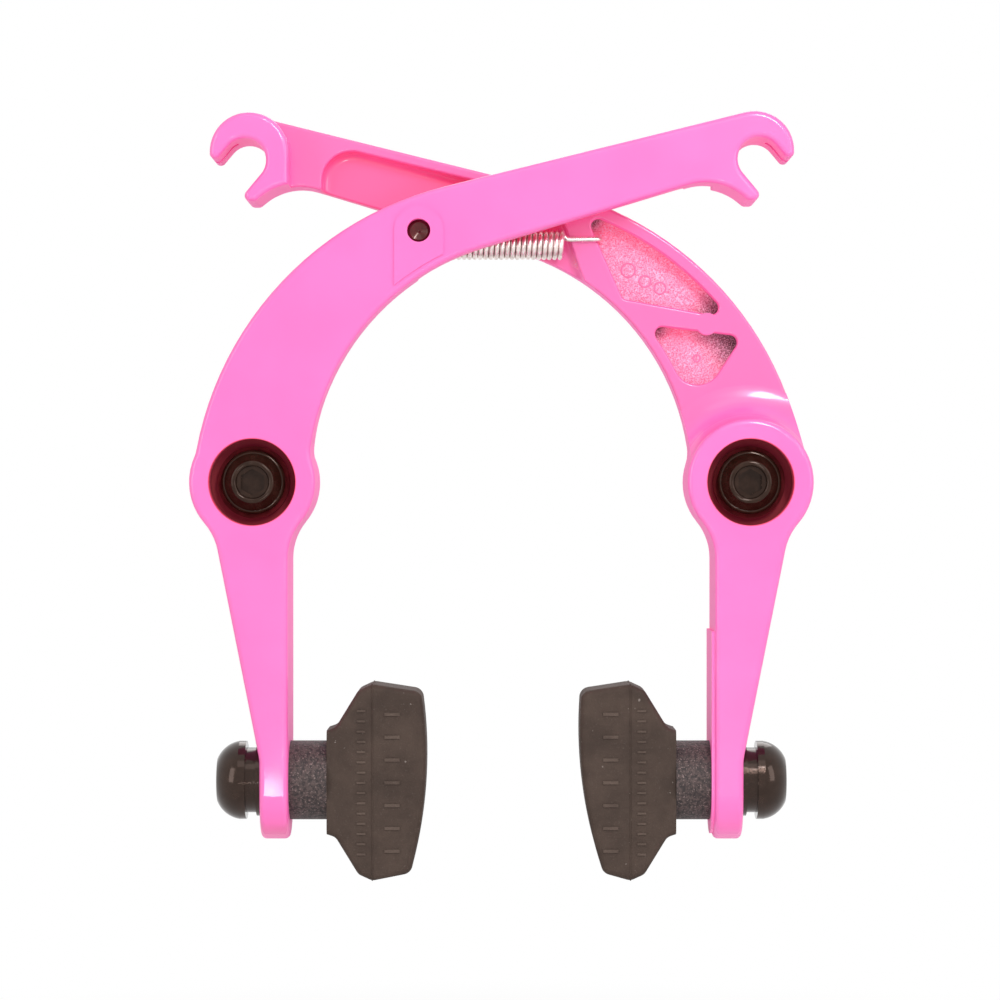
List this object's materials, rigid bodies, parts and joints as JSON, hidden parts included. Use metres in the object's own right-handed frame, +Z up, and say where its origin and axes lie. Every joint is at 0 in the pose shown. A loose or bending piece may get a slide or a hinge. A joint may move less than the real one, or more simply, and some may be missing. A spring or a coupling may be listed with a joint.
{
  "type": "bicycle u-brake",
  "caption": "Bicycle u-brake: crossing cast arms on recessed pivot bolts, split cable hooks, a coil return spring and rubber pads clamped in slots.",
  "frame": {"origin": "midway between the pivot axes, on the plane where the pivot sleeves seat on the bicycle frame", "axes": "+X across the brake to the viewer's right, +Z up to the cable hooks, +Y back along the bolts to the bicycle frame"},
  "size_m": [0.1066, 0.0256, 0.1315],
  "materials": {
    "coated_arm": "bright pink gloss coat",
    "bushing": "matte",
    "plain_steel": "zinc plated",
    "black_steel": "black oxide, satin to glossy",
    "pad_rubber": "moulded, dull",
    "black_spacer": "rough black coat",
    "spring_steel": "bright drawn wire"
  },
  "bodies": {
    "pivots": {"left_pivot_sleeve": "plain_steel", "left_pivot_bolt": "black_steel", "left_pivot_washer": "plain_steel", "right_pivot_sleeve": "plain_steel", "right_pivot_bolt": "black_steel", "right_pivot_washer": "plain_steel", "return_spring": "spring_steel"},
    "left_arm": {"left_arm": "coated_arm", "left_pivot_bushing_front": "bushing", "left_pivot_bushing_rear": "bushing", "spring_pin": "black_steel"},
    "left_pad_mount": {"left_pad_spacer": "black_spacer", "left_pad_washer": "black_steel", "left_pad_cup_washer": "black_steel"},
    "left_pad": {"left_pad_block": "pad_rubber", "left_pad_post": "plain_steel", "left_pad_nut": "black_steel"},
    "right_arm": {"right_arm": "coated_arm", "right_pivot_bushing_front": "bushing", "right_pivot_bushing_rear": "bushing"},
    "right_pad_mount": {"right_pad_spacer": "black_spacer", "right_pad_washer": "black_steel", "right_pad_cup_washer": "black_steel"},
    "right_pad": {"right_pad_block": "pad_rubber", "right_pad_post": "plain_steel", "right_pad_nut": "black_steel"}
  },
  "joints": [
    {"name": "left_arm_pivot", "type": "hinge", "parent": "pivots", "child": "left_arm", "pos_m": [-0.0425, -0.0082, 0], "axis": [0, -1, 0], "range_deg": [0, 10], "stiffness_Nm_per_rad": 2.5, "springref_deg": -8.59, "deforming": ["return_spring"]},
    {"name": "left_pad_height", "type": "slide", "parent": "left_arm", "child": "left_pad_mount", "axis": [0, 0, 1], "range_m": [-0.0015, 0.003]},
    {"name": "left_pad_swivel", "type": "hinge", "parent": "left_pad_mount", "child": "left_pad", "pos_m": [-0.033, -0.0082, -0.0514], "axis": [1, 0, 0], "range_deg": [-20, 20]},
    {"name": "right_arm_pivot", "type": "hinge", "parent": "pivots", "child": "right_arm", "pos_m": [0.0425, -0.0082, 0], "axis": [0, 1, 0], "range_deg": [0, 10], "stiffness_Nm_per_rad": 2.5, "springref_deg": -8.59, "deforming": ["return_spring"]},
    {"name": "right_pad_height", "type": "slide", "parent": "right_arm", "child": "right_pad_mount", "axis": [0, 0, 1], "range_m": [-0.0015, 0.003]},
    {"name": "right_pad_swivel", "type": "hinge", "parent": "right_pad_mount", "child": "right_pad", "pos_m": [0.033, -0.0082, -0.0514], "axis": [1, 0, 0], "range_deg": [-20, 20]}
  ]
}
